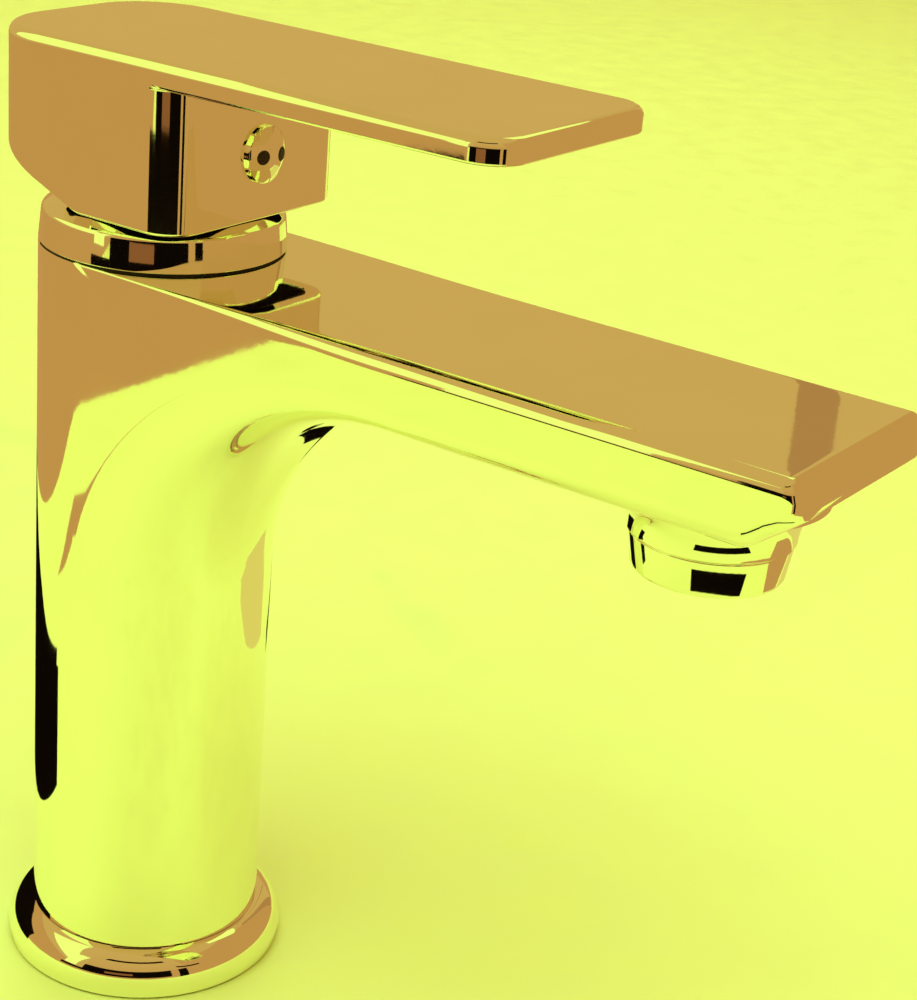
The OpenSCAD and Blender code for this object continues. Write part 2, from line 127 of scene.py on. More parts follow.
def soften(obj, width, weight_of):
    """Bevels the sharp edges; weight_of(edge) gives each one's share of the width."""
    bm = bmesh.new()
    bm.from_mesh(obj.data)
    weights = bm.edges.layers.float.new("bevel_weight_edge")
    for edge in bm.edges:
        if edge.calc_face_angle(0.0) > math.radians(SOFTENED_DEG):
            edge[weights] = weight_of(edge)
    bm.to_mesh(obj.data)
    bm.free()
    bevel = obj.modifiers.new("Edges", "BEVEL")
    bevel.width = width * MM
    bevel.segments = 5
    bevel.limit_method = "WEIGHT"
    bevel.use_clamp_overlap = False
    bevel.harden_normals = True


def fillet(corners, steps=8):
    """Rounds the corners of a closed 2-D polygon. Each corner is (x, y, radius)."""
    points = []
    count = len(corners)
    for i, (x, y, radius) in enumerate(corners):
        here = np.array([x, y])
        back = np.array(corners[i - 1][:2]) - here
        ahead = np.array(corners[(i + 1) % count][:2]) - here
        back, ahead = back / np.linalg.norm(back), ahead / np.linalg.norm(ahead)
        half = math.acos(max(-1.0, min(1.0, float(back @ ahead)))) / 2
        if radius <= 0:
            points.append(here)
            continue
        centre = here + (back + ahead) / np.linalg.norm(back + ahead) * radius / math.sin(half)
        start = here + back * radius / math.tan(half) - centre
        end = here + ahead * radius / math.tan(half) - centre
        sweep = math.pi - 2 * half
        for k in range(steps + 1):
            t = k / steps
            a, b = math.sin((1 - t) * sweep), math.sin(t * sweep)
            points.append(centre + (start * a + end * b) / math.sin(sweep))
    return np.array(points)


def grid_faces(rings, count):
    """Quads between successive closed rings of count points each."""
    return [
        (k * count + i, k * count + (i + 1) % count, (k + 1) * count + (i + 1) % count, (k + 1) * count + i)
        for k in range(rings - 1)
        for i in range(count)
    ]


def lathe(name, profile, axis_point=(0.0, 0.0, 0.0), along="Z", segments=192):
    """A ring turned about Z from a closed profile of (radius, height), or about Y with heights along -Y."""
    profile = np.asarray(profile, float)
    turns = np.arange(segments) * FULL_TURN / segments
    verts = []
    for turn in turns:
        x, y, z = profile[:, 0] * math.cos(turn), profile[:, 0] * math.sin(turn), profile[:, 1]
        verts.append(np.stack([x, y, z] if along == "Z" else [x, -z, y], axis=1) + np.array(axis_point))
    count = len(profile)
    faces = []
    for s in range(segments):
        here, after = s * count, (s + 1) % segments * count
        for i in range(count):
            j = (i + 1) % count
            faces.append((here + i, here + j, after + j, after + i))
    return new_object(name, np.concatenate(verts), faces)


# ---------------------------------------------------------------- casting

# Points along each stretch of half a section
BOTTOM_POINTS, CORNER_POINTS, SIDE_POINTS, SHOULDER_POINTS, TOP_POINTS = 10, 32, 8, 32, 10
# Sections along each stretch of the casting
COLUMN_RINGS, REAR_RINGS, ARCH_RINGS, SPOUT_RINGS, CHIN_RINGS, NOSE_RINGS = 48, 32, 72, 16, 24, 20
REAR_CORNER = math.atan2(ARCH_DROP, body_r - arch_y)
ROOT_CORNER = math.atan2(ARCH_DROP, -arch_y)


def smooth(t):
    """A step from 0 to 1 with soft ends."""
    t = max(0.0, min(1.0, t))
    return t * t * (3 - 2 * t)


def half_loop(half, low, side_end, low_r, shoulder, top_end):
    """Half of a section as (x, height): from the middle of the underside, round the lower corner, up the
    side, along the shoulder and in to the middle of the top."""
    turn = np.linspace(0, QUARTER, CORNER_POINTS)
    bottom = np.stack([np.linspace(0, half - low_r, BOTTOM_POINTS), np.full(BOTTOM_POINTS, low)], 1)
    corner = np.stack([half - low_r + low_r * np.sin(turn), low + low_r - low_r * np.cos(turn)], 1)
    side = np.stack([np.full(SIDE_POINTS, half), np.linspace(low + low_r, side_end, SIDE_POINTS)], 1)
    top = np.stack([np.linspace(top_end[0], 0, TOP_POINTS), np.full(TOP_POINTS, top_end[1])], 1)
    return np.concatenate([bottom[:-1], corner, side[1:-1], shoulder, top[1:]])


def both_halves(half_points):
    """The whole loop, from a half one whose first and last points are on the middle plane."""
    mirror = half_points[-2:0:-1] * np.array([-1.0, 1.0, 1.0])
    return np.concatenate([half_points, mirror])


def top_edge_r(y):
    """Radius of the spout's top edges, which soften from the column towards the nose."""
    return ROOT_EDGE_R + (TOP_EDGE_R - ROOT_EDGE_R) * smooth((-y - EDGE_START) / EDGE_LENGTH)


def arch_section(angle):
    """Section of the body by a plane turned by angle about the arch's centre line."""
    c, s = math.cos(angle), math.sin(angle)
    low_r = SPOUT_EDGE_R + (body_r - SPOUT_EDGE_R) * max(c, 0.0) ** 1.5
    turn = np.linspace(0, 1, SHOULDER_POINTS)
    if angle <= ROOT_CORNER:
        reach = QUARTER
        if angle > REAR_CORNER:
            top_y = min(body_r, arch_y + ARCH_DROP * c / s)
            reach = math.asin(max(0.0, top_y / body_r))
        x, y = body_r * np.cos(turn * reach), body_r * np.sin(turn * reach)
        shoulder = np.stack([x, (y - arch_y) / c], 1)
        side_end = -arch_y / c
    else:
        radius = top_edge_r(arch_y + ARCH_DROP * c / s)
        bend = turn * QUARTER
        x = body_r - radius * (1 - np.cos(bend))
        z = ARCH_DROP - radius * (1 - np.sin(bend))
        shoulder = np.stack([x, z / s], 1)
        side_end = (ARCH_DROP - radius) / s
    loop = half_loop(body_r, ARCH_R, side_end, low_r, shoulder, shoulder[-1])
    return both_halves(np.stack([loop[:, 0], arch_y + loop[:, 1] * c, arch_z + loop[:, 1] * s], 1))


def chin(y):
    """Height of the spout's underside at y, where it turns up towards the nose."""
    slope = CHIN_RISE / CHIN_LENGTH
    d = nose_y + CHIN_LENGTH - y
    if d < -CHIN_BLEND:
        return spout_under
    if d > CHIN_BLEND:
        return spout_under + slope * d
    return spout_under + slope * (d + CHIN_BLEND) ** 2 / (4 * CHIN_BLEND)


def spout_section(y, turn):
    """Section of the spout at y; turn goes from 0 to 90 degrees where the nose rounds over."""
    inset = NOSE_R * (1 - math.cos(turn))
    half, high, low = body_r - inset * NOSE_TAPER, body_top - inset, chin(y)
    high_r = min(top_edge_r(y), CORNER_SHARE * (high - low))
    low_r = min(SPOUT_EDGE_R, CORNER_SHARE * (high - low))
    bend = np.linspace(0, QUARTER, SHOULDER_POINTS)
    shoulder = np.stack([half - high_r * (1 - np.cos(bend)), high - high_r * (1 - np.sin(bend))], 1)
    loop = half_loop(half, low, high - high_r, low_r, shoulder, shoulder[-1])
    return both_halves(np.stack([loop[:, 0], np.full(len(loop), y), loop[:, 1]], 1))


def make_casting():
    """The column, the arch and the spout in one skin, from the hollow foot to the nose."""
    foot = arch_section(0.0)
    rings = [
        foot * np.array([radius / body_r, radius / body_r, 0.0]) + np.array([0.0, 0.0, z])
        for radius, z in (
            (FOOT_BORE_R, DECK_PLATE_Z), (FOOT_BORE_R, casting_low[2]), (NECK_R, casting_low[2]),
            (NECK_R, ring_high[2]), (body_r, ring_high[2]), (body_r, (ring_high[2] + arch_z) / 2),
        )
    ]
    rings += [arch_section(a) for a in np.linspace(0, REAR_CORNER, COLUMN_RINGS)]
    for turn in np.linspace(0, QUARTER, REAR_RINGS)[1:]:
        rings.append(arch_section(math.atan2(ARCH_DROP, body_r * math.cos(turn) - arch_y)))
    rings += [arch_section(a) for a in np.linspace(ROOT_CORNER, QUARTER, ARCH_RINGS)[1:]]
    before_chin, round_y = nose_y + CHIN_LENGTH + 2, nose_y + NOSE_R
    rings += [spout_section(y, 0.0) for y in np.linspace(arch_y, before_chin, SPOUT_RINGS)[1:]]
    rings += [spout_section(y, 0.0) for y in np.linspace(before_chin, round_y, CHIN_RINGS)[1:]]
    nose_turns = np.linspace(0, QUARTER, NOSE_RINGS)[1:]
    rings += [spout_section(round_y - NOSE_R * math.sin(turn), turn) for turn in nose_turns]
    count = len(rings[0])
    faces = grid_faces(len(rings), count)
    faces.append(tuple(range(count)))
    faces.append(tuple((len(rings) - 1) * count + i for i in range(count)))
    return new_object("casting", np.concatenate(rings), faces)


# ---------------------------------------------------------------- outlet boss and turned trim

def make_outlet_boss():
    """The round boss under the spout, flaring into its flat underside."""
    rim_r, flare_r, bore_r = shell_high[0] + 0.3, 18.3, THREAD_R + 0.05
    rim_chamfer = 0.25
    bottom, buried = body_top - BOSS_DROP, spout_under + 1.5
    flare = [
        (flare_r - (flare_r - rim_r) * math.cos(t), bottom + (spout_under - bottom) * math.sin(t))
        for t in np.linspace(0, QUARTER, 24)
    ]
    flare[0] = (rim_r, bottom + rim_chamfer)
    profile = [(bore_r, bottom), (rim_r - rim_chamfer, bottom), *flare, (flare_r, buried), (bore_r, buried)]
    return lathe("outlet_boss", profile, (0.0, outlet_y, 0.0))


def make_base_ring():
    """The trim ring: a convex bead that stands on a short straight foot with a recess below it."""
    foot_r, foot_wall, bead_r, neck_r = 27.0, 0.8, 6.0, NECK_R + 0.05
    recess_z, foot_z, foot_top = 1.6, 0.3, 2.0
    foot_chamfer, groove = 0.2, 0.15
    bead_centre = (ring_high[0] - 0.01 - bead_r, ring_high[2] - bead_r)
    low_turn = math.asin((foot_top - bead_centre[1]) / bead_r)
    bead = [
        (bead_centre[0] + bead_r * math.cos(t), bead_centre[1] + bead_r * math.sin(t))
        for t in np.linspace(low_turn, QUARTER, 40)
    ]
    profile = [
        (neck_r, recess_z),
        (foot_r - foot_wall, recess_z),
        (foot_r - foot_wall, foot_z),
        (foot_r - foot_chamfer, foot_z),
        (foot_r, foot_z + foot_chamfer),
        (foot_r, foot_top - groove),
        *bead,
        (neck_r, ring_high[2]),
    ]
    return lathe("foot_trim_ring", profile, segments=256)


def make_cap():
    """The domed cover over the cartridge, with a thin skirt that hides most of the seal below it."""
    bottom = cap_low[2]
    inner, mouth_r = -cap_low[0] - 4.95, 13.4
    skirt, rim_h, dome_h, thickness = 0.45, 5.5, 9.6, 2.0
    profile = fillet([
        (inner, bottom, 0.0),
        (body_r - skirt, bottom, 0.0),
        (body_r - skirt, bottom - skirt, 0.0),
        (body_r, bottom - skirt, 0.2),
        (body_r - 0.55, bottom + rim_h, 1.2),
        (body_r - 2.6, bottom + rim_h + 1.5, 3.0),
        (mouth_r, bottom + dome_h, 0.5),
        (mouth_r, bottom + dome_h - thickness, 0.0),
        (inner, bottom + 5.2, 0.0),
    ])
    return lathe("dome_cap", profile, segments=256)


def make_aerator_shell():
    """The visible ring under the spout, tapering down from its seat, with a threaded collar above."""
    tip_r, top_r, bore_r = shell_high[0] - 1.0, shell_high[0], 10.4
    bottom, seat = shell_low[2], body_top - BOSS_DROP - 0.1
    bore_chamfer, soft = 0.4, 0.2
    profile = fillet([
        (bore_r, bottom + bore_chamfer, soft),
        (bore_r + 0.6, bottom, 0.25),
        (tip_r, bottom, 0.9),
        (top_r, seat, 0.3),
        (THREAD_R, seat, 0.0),
        (THREAD_R, shell_high[2], soft),
        (bore_r, shell_high[2], soft),
    ])
    return lathe("outlet_ring", profile, (0.0, outlet_y, 0.0))


PLUG_DOME = 1.7
# Radius at which a solid of revolution starts, so that its middle stays a ring of faces
CORE_R = 0.02
plug_r = plug_high[0]
plug_crown = -plug_low[1]
plug_dome_r = (plug_r ** 2 + PLUG_DOME ** 2) / (2 * PLUG_DOME)


def plug_front(radius):
    """How far the plug's domed front stands out, at a distance from its axis."""
    return plug_crown - plug_dome_r + math.sqrt(plug_dome_r ** 2 - radius ** 2)


def make_plug():
    """The domed button in the block's front face."""
    back, rim_gap, crease = -plug_high[1], 0.15, 0.05
    groove_z = plug_crown - PLUG_DOME - crease - 0.12
    sweep = math.asin((plug_r - rim_gap) / plug_dome_r)
    dome = [
        (plug_dome_r * math.sin(t), plug_front(plug_dome_r * math.sin(t)))
        for t in np.linspace(sweep, 0, 24)[:-1]
    ]
    profile = [(CORE_R, back), (plug_r, back), (plug_r, groove_z)] + dome + [(CORE_R, plug_crown)]
    axis = (0.0, 0.0, (plug_low[2] + plug_high[2]) / 2)
    return lathe("screw_cover_plug", profile, axis, along="Y", segments=96)


def make_dot(name, node):
    """An enamel dot that follows the plug's dome and stands a hair above it."""
    low, high = (np.array(corner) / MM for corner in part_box(node))
    centre_x, centre_z, radius = (low[0] + high[0]) / 2, (low[2] + high[2]) / 2, (high[0] - low[0]) / 2
    axis_z = (plug_low[2] + plug_high[2]) / 2
    proud, edge_proud, depth = 0.06, 0.05, -0.5
    # share of the radius, and height above the dome, of each ring of points
    rings = [(CORE_R, proud), (0.35, proud), (0.7, proud), (0.93, edge_proud), (1.0, 0.0), (1.0, depth),
             (CORE_R, depth)]
    turns = np.linspace(0, FULL_TURN, 48, endpoint=False)
    verts = []
    for share, lift in rings:
        for turn in turns:
            x = centre_x + share * radius * math.cos(turn)
            z = centre_z + share * radius * math.sin(turn)
            verts.append((x, -plug_front(math.hypot(x, z - axis_z)) - lift, z))
    faces = grid_faces(len(rings), len(turns))
    faces.append(tuple(range(len(turns))))
    faces.append(tuple((len(rings) - 1) * len(turns) + i for i in range(len(turns))))
    return new_object(name, verts, faces)


# ---------------------------------------------------------------- lever handle

# Dimensions of the handle that the model's box doesn't give; BLOCK_FRONT is the y of the block's front face
BLADE_T = 4.4
BLOCK_FRONT = -22.5
BLOCK_FRONT_R, BLOCK_BACK_R, TIP_R = 6.5, 15.0, 7.0
HANDLE_WALL = 3.2
CAVITY_DROP = 8.0
# The rear underside slopes up from y = 0, so that the lever can lift
SLOPE = math.tan(math.radians(22))
SLOPE_BEND = 1.2
BEND_POINTS = (-0.9, -0.3, 0.4, 1.2)
# Radius of the top edges, and the share of it that the other edges get
TOP_ROUND, LOW_SHARE = 1.8, 0.3
PLAN_STEPS, TIP_STEPS = 20, 24


def arc(cx, cy, radius, start_deg, end_deg, steps):
    turn = np.radians(np.linspace(start_deg, end_deg, steps))
    return np.stack([cx + radius * np.cos(turn), cy + radius * np.sin(turn)], 1)


def side_points(x, y0, y1):
    """Points along one side, for the bend where the rear underside starts to slope."""
    return np.array([[x, y] for y in BEND_POINTS if y0 < y < y1])


def plan(half, front, back, front_r, back_r):
    """Plan outline, from the middle of the front anticlockwise to just before it."""
    right = np.concatenate([
        np.array([[0.0, front]]),
        arc(half - front_r, front + front_r, front_r, -90, 0, PLAN_STEPS),
        side_points(half, front + front_r, back - back_r),
        arc(half - back_r, back - back_r, back_r, 0, 90, PLAN_STEPS),
    ])
    left = right[:0:-1] * np.array([-1.0, 1.0])
    return np.concatenate([right, [[0.0, back]], left])


def underside(y, under):
    """Height of the block's underside at y, with a soft bend at the start of the slope."""
    if y <= -SLOPE_BEND:
        return under
    if y >= SLOPE_BEND:
        return under + y * SLOPE
    return under + SLOPE * (y + SLOPE_BEND) ** 2 / (4 * SLOPE_BEND)


def make_handle():
    """The block and the flat lever in one skin, and for each face whether it lines the block's cavity."""
    half, top, front_tip, back = handle_high[0], handle_high[2], handle_low[1], handle_high[1]
    under, blade_under, cavity_top = handle_low[2], top - BLADE_T, top - CAVITY_DROP
    block = plan(half, BLOCK_FRONT, back, BLOCK_FRONT_R, BLOCK_BACK_R)
    inner = plan(half - HANDLE_WALL, BLOCK_FRONT + HANDLE_WALL, back - HANDLE_WALL,
                 BLOCK_FRONT_R - HANDLE_WALL, BLOCK_BACK_R - HANDLE_WALL)
    tip_right = arc(half - TIP_R, front_tip + TIP_R, TIP_R, -90, 0, TIP_STEPS)
    tip_left = tip_right[::-1] * np.array([-1.0, 1.0])
    tip = np.concatenate([tip_left, tip_right])
    verts, faces = [], []

    def add(points, heights):
        """Adds a row of points and returns their numbers."""
        first = len(verts)
        verts.extend((x, y, z) for (x, y), z in zip(points, heights))
        return list(range(first, len(verts)))

    def level(points, z):
        return add(points, [z] * len(points))

    # The front of the block's outline meets the blade's underside; the rest of it is shared with the top
    count, front_count = len(block), 1 + PLAN_STEPS
    right_front = list(range(front_count))
    left_front = [0] + list(range(count - 1, count - front_count, -1))
    shared = list(range(front_count - 1, count - front_count + 2))
    bottom = add(block, [underside(y, under) for _, y in block])
    neck = level(block[right_front], blade_under) + level(block[left_front[1:]], blade_under)
    neck_of = dict(zip(right_front + left_front[1:], neck))
    top_of = dict(zip(shared, level(block[shared], top)))
    tip_top, tip_low = level(tip, top), level(tip, blade_under)
    lip = add(inner, [underside(y, under) for _, y in inner])
    ceiling = level(inner, cavity_top)

    for i in range(count):
        j = (i + 1) % count
        faces.append((bottom[i], lip[i], lip[j], bottom[j]))
        faces.append((lip[i], ceiling[i], ceiling[j], lip[j]))
        if i not in top_of or j not in top_of:
            faces.append((bottom[i], bottom[j], neck_of[j], neck_of[i]))
        elif i == shared[0]:
            faces.append((bottom[i], bottom[j], top_of[j], top_of[i], neck_of[i]))
        elif j == shared[-1]:
            faces.append((bottom[i], bottom[j], neck_of[j], top_of[j], top_of[i]))
        else:
            faces.append((bottom[i], bottom[j], top_of[j], top_of[i]))
    faces.append(tuple(ceiling))
    # The blade's top, rim, sides and underside
    faces.append(tuple(tip_top + [top_of[i] for i in shared]))
    for k in range(len(tip) - 1):
        faces.append((tip_low[k], tip_low[k + 1], tip_top[k + 1], tip_top[k]))
    faces.append((tip_low[-1], neck_of[shared[0]], top_of[shared[0]], tip_top[-1]))
    faces.append((neck_of[shared[-1]], tip_low[0], tip_top[0], top_of[shared[-1]]))
    round_front = [neck_of[i] for i in left_front[::-1]] + [neck_of[i] for i in right_front[1:]]
    faces.append(tuple(tip_low[::-1] + round_front))

    obj = new_object("lever_and_block", verts, faces)
    near = 0.1
    top_line = (top - near) * MM
    soften(obj, TOP_ROUND, lambda edge: 1.0 if min(v.co.z for v in edge.verts) > top_line else LOW_SHARE)
    middle = (BLOCK_FRONT + back) / 2 * MM

    def in_cavity(face):
        """Whether a face is a wall that looks towards the block's middle, or the cavity's ceiling."""
        x, y, z = face.center
        inward = face.normal.x * x + face.normal.y * (y - middle) < 0
        return abs(face.normal.z) < 0.5 and inward or abs(z - cavity_top * MM) < near * MM

    return obj, [in_cavity(face) for face in obj.data.polygons]


def make_socket():
    """The square socket inside the block that grips the stem."""
    outer, inner, edge_r = 8.0, 4.55, 0.4
    depth, overlap = 21.0, 0.1
    low, high = handle_high[2] - depth, handle_high[2] - CAVITY_DROP + overlap
    verts = [
        (sx * half, sy * half, z)
        for half, z in ((outer, low), (outer, high), (inner, high), (inner, low))
        for sx, sy in ((-1, -1), (1, -1), (1, 1), (-1, 1))
    ]
    faces = grid_faces(4, 4)
    faces += [(12 + i, 12 + (i + 1) % 4, (i + 1) % 4, i) for i in range(4)]
    obj = new_object("stem_socket", verts, faces)
    soften(obj, edge_r, lambda edge: 1.0)
    return obj


# ---------------------------------------------------------------- materials

# Scale and detail of the slow variation, and detail of the grain
CLOUD_SCALE, CLOUD_DETAIL, GRAIN_DETAIL = 60.0, 3.0, 2.0
# The part of a noise's 0..1 output that its values mostly stay in
NOISE_LOW, NOISE_HIGH = 0.3, 0.7
# How far the gloss swings to either side of its mean
GLOSS_SWING = 0.25
# Depth of the surface grain, in metres
GRAIN_DEPTH = 0.0001


def noise(nodes, links, scale, detail, source):
    node = nodes.new("ShaderNodeTexNoise")
    node.inputs["Scale"].default_value = scale
    node.inputs["Detail"].default_value = detail
    links.new(source, node.inputs["Vector"])
    return node


def spread(nodes, links, source, low, high, socket):
    """Maps a noise's output to low..high and links it to socket."""
    node = nodes.new("ShaderNodeMapRange")
    node.inputs["From Min"].default_value = NOISE_LOW
    node.inputs["From Max"].default_value = NOISE_HIGH
    node.inputs["To Min"].default_value = low
    node.inputs["To Max"].default_value = high
    links.new(source, node.inputs["Value"])
    links.new(node.outputs["Result"], socket)


def material(name, colour, metallic, rough, tint, bump, grain_scale, stretch=(1, 1, 1), coat=0.0):
    """A finish with slow colour and gloss variation and a fine grain, all from object coordinates."""
    mat = bpy.data.materials.new(name)
    mat.use_nodes = True
    nodes, links = mat.node_tree.nodes, mat.node_tree.links
    shader = nodes["Principled BSDF"]
    shader.inputs["Metallic"].default_value = metallic
    shader.inputs["Coat Weight"].default_value = coat
    coords = nodes.new("ShaderNodeTexCoord")
    mapping = nodes.new("ShaderNodeMapping")
    mapping.inputs["Scale"].default_value = stretch
    links.new(coords.outputs["Object"], mapping.inputs["Vector"])
    cloud = noise(nodes, links, CLOUD_SCALE, CLOUD_DETAIL, mapping.outputs["Vector"])
    grain = noise(nodes, links, grain_scale, GRAIN_DETAIL, mapping.outputs["Vector"])
    ramp = nodes.new("ShaderNodeValToRGB")
    darker, lighter = ramp.color_ramp.elements
    darker.position, lighter.position = NOISE_LOW, NOISE_HIGH
    darker.color = (*(c * (1 - tint) for c in colour), 1)
    lighter.color = (*(min(1.0, c * (1 + tint)) for c in colour), 1)
    links.new(cloud.outputs["Fac"], ramp.inputs["Fac"])
    links.new(ramp.outputs["Color"], shader.inputs["Base Color"])
    glossy, dull = rough * (1 - GLOSS_SWING), rough * (1 + GLOSS_SWING)
    spread(nodes, links, cloud.outputs["Fac"], glossy, dull, shader.inputs["Roughness"])
    relief = nodes.new("ShaderNodeBump")
    relief.inputs["Strength"].default_value = bump
    relief.inputs["Distance"].default_value = GRAIN_DEPTH
    links.new(grain.outputs["Fac"], relief.inputs["Height"])
    links.new(relief.outputs["Normal"], shader.inputs["Normal"])
    return mat


# The polished metal: a bright, slightly warm mirror
GOLD = (0.93, 0.95, 0.74)
# For each slot: colour, metallic, roughness, colour variation, depth and scale of the grain, stretch, coat
FINISHES = {
    "polished_body": (GOLD, 1.0, 0.035, 0.01, 0.02, 500),
    "polished_trim": (GOLD, 1.0, 0.04, 0.01, 0.02, 500),
    "polished_handle": (GOLD, 1.0, 0.04, 0.01, 0.02, 500),
    "rough_cast": ((0.02, 0.01, 0.005), 0.3, 0.5, 0.2, 0.3, 1200),
    "black_rubber": ((0.012, 0.009, 0.006), 0.0, 0.6, 0.2, 0.25, 2500),
    "zinc_steel": ((0.55, 0.52, 0.46), 1.0, 0.32, 0.08, 0.15, 1500),
    "raw_brass": ((0.62, 0.42, 0.16), 1.0, 0.28, 0.08, 0.15, 1200, (1, 1, 6)),
    "white_plastic": ((0.78, 0.74, 0.62), 0.0, 0.38, 0.03, 0.08, 1500),
    "grey_plastic": ((0.22, 0.19, 0.14), 0.0, 0.42, 0.06, 0.12, 1500),
    "disc_ceramic": ((0.83, 0.8, 0.7), 0.0, 0.12, 0.02, 0.03, 2500, (1, 1, 1), 0.3),
    "hot_enamel": ((0.02, 0.004, 0.002), 0.0, 0.55, 0.2, 0.04, 2500),
    "cold_enamel": ((0.005, 0.004, 0.01), 0.0, 0.55, 0.2, 0.04, 2500),
}
finishes = {name: material(name, *values) for name, values in FINISHES.items()}

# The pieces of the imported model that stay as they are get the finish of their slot
node_slot = {part["node"]: part["material_slot"] for part in frame["record"]["subparts"]}
for name, obj in frame["nodes"].items():
    slot = node_slot.get(name)
    if slot in finishes:
        for place in obj.material_slots:
            place.material = finishes[slot]


def place_piece(obj, body, slot, *stands_for):
    """Paints a piece, hangs it on its body and lets it stand for the named nodes."""
    obj.data.materials.append(finishes[slot])
    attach(obj, body)
    if stands_for:
        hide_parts(*stands_for)


place_piece(make_casting(), "body", "polished_body", "body_casting")
place_piece(make_outlet_boss(), "body", "polished_body", "body_casting")
place_piece(make_base_ring(), "body", "polished_trim", "base_ring")
place_piece(make_cap(), "body", "polished_trim", "trim_cap")
place_piece(make_aerator_shell(), "body", "polished_trim", "aerator_shell")
handle, inside_faces = make_handle()
place_piece(handle, "lever", "polished_handle", "lever_handle")
handle.data.materials.append(finishes["rough_cast"])
for face, inside in zip(handle.data.polygons, inside_faces):
    face.material_index = int(inside)
place_piece(make_socket(), "lever", "polished_handle", "lever_handle")
place_piece(make_plug(), "lever", "polished_trim", "index_plug")
place_piece(make_dot("hot_dot", "hot_mark"), "lever", "hot_enamel", "hot_mark")
place_piece(make_dot("cold_dot", "cold_mark"), "lever", "cold_enamel", "cold_mark")


# ---------------------------------------------------------------- floor, light and camera

def card(name, corners, colour):
    """A flat glowing card that only reflections see."""
    mesh = bpy.data.meshes.new(name)
    mesh.from_pydata(corners, [], [tuple(range(len(corners)))])
    obj = bpy.data.objects.new(name, mesh)
    bpy.context.scene.collection.objects.link(obj)
    mat = bpy.data.materials.new(name)
    mat.use_nodes = True
    nodes, links = mat.node_tree.nodes, mat.node_tree.links
    nodes.remove(nodes["Principled BSDF"])
    glow = nodes.new("ShaderNodeEmission")
    glow.inputs["Color"].default_value = (*colour, 1)
    glow.inputs["Strength"].default_value = 1.0
    links.new(glow.outputs["Emission"], nodes["Material Output"].inputs["Surface"])
    mesh.materials.append(mat)
    obj.visible_camera = False
    obj.visible_diffuse = False
    obj.visible_shadow = False
    obj.visible_transmission = False


def upright(name, line, low, high, colour):
    """Cards that stand on a line of (x, y) points, in metres."""
    for k, (a, b) in enumerate(zip(line, line[1:])):
        card(f"{name}_{k}", [(*a, low), (*b, low), (*b, high), (*a, high)], colour)


def around(distance, start, end, steps=8):
    """Points at a distance from the column axis; azimuths run in degrees from +Y towards +X."""
    turns = np.radians(np.linspace(start, end, steps))
    return [(distance * math.sin(t), distance * math.cos(t)) for t in turns]


def flat(points, z):
    """Corners at one height, from a list of (x, y) points."""
    return [(x, y, z) for x, y in points]


def make_floor():
    reach = 30.0
    mesh = bpy.data.meshes.new("floor")
    corners = flat([(-reach, -reach), (reach, -reach), (reach, reach), (-reach, reach)], 0.0)
    mesh.from_pydata(corners, [], [(0, 1, 2, 3)])
    obj = bpy.data.objects.new("floor", mesh)
    bpy.context.scene.collection.objects.link(obj)
    mesh.materials.append(material("floor", (0.84, 0.93, 0.24), 0.0, 0.7, 0.01, 0.0, 900))


def make_world():
    """A plain room, a little lighter towards the top."""
    world = bpy.data.worlds.new("studio")
    bpy.context.scene.world = world
    world.use_nodes = True
    nodes, links = world.node_tree.nodes, world.node_tree.links
    background = nodes["Background"]
    coords = nodes.new("ShaderNodeTexCoord")
    split = nodes.new("ShaderNodeSeparateXYZ")
    links.new(coords.outputs["Generated"], split.inputs["Vector"])
    ramp = nodes.new("ShaderNodeValToRGB")
    level_end, top_end = ramp.color_ramp.elements
    level_end.position, top_end.position = 0.0, 1.0
    level_end.color, top_end.color = (*TAN, 1), (*TOP_TAN, 1)
    links.new(split.outputs["Z"], ramp.inputs["Fac"])
    links.new(ramp.outputs["Color"], background.inputs["Color"])
    background.inputs["Strength"].default_value = 1.0


def area_light(name, location, size, power):
    """A soft round light that points at the part and leaves no highlight on the metal."""
    data = bpy.data.lights.new(name, "AREA")
    data.shape = "DISK"
    data.size = size
    data.energy = power
    data.color = LIGHT_TINT
    obj = bpy.data.objects.new(name, data)
    bpy.context.scene.collection.objects.link(obj)
    obj.location = location
    obj.rotation_euler = (LIGHT_TARGET - Vector(location)).to_track_quat("-Z", "Y").to_euler()
    obj.visible_glossy = False


# Colours of the glowing cards that paint reflections into the metal; TAN and TOP_TAN also colour the world
TAN = (0.56, 0.30, 0.085)
TOP_TAN = (0.62, 0.395, 0.112)
DULL_TAN = (0.44, 0.23, 0.07)
PALE = (0.76, 0.66, 0.15)
BROWN = (0.26, 0.10, 0.03)
BLACK = (0.004, 0.002, 0.001)
BRIGHT = (0.95, 1.1, 0.25)
LIGHT_TINT = (0.60, 1.0, 0.78)
LIGHT_TARGET = Vector((0, 0, 0.1))

make_floor()
make_world()
area_light("key", (-0.5, -0.2, 1.6), 1.6, 21.8)
area_light("fill", (0.9, 0.6, 1.3), 1.4, 10.3)

# Painted reflections of the wall behind the part and of the things that stand in front of it: glowing cards
# that only reflections see; all in metres
WALL_Y = 0.17
NEAR_WALL_Y = WALL_Y - 0.006
upright("back_wall_reflection", [(-2.0, WALL_Y), (2.0, WALL_Y)], 0.03, 0.16, TAN)
upright("upper_wall_reflection", [(-2.0, WALL_Y), (2.0, WALL_Y)], 0.16, 0.9, TOP_TAN)
upright("side_wall_reflection", [(0.63, NEAR_WALL_Y), (0.68, NEAR_WALL_Y)], 0.2, 0.9, DULL_TAN)
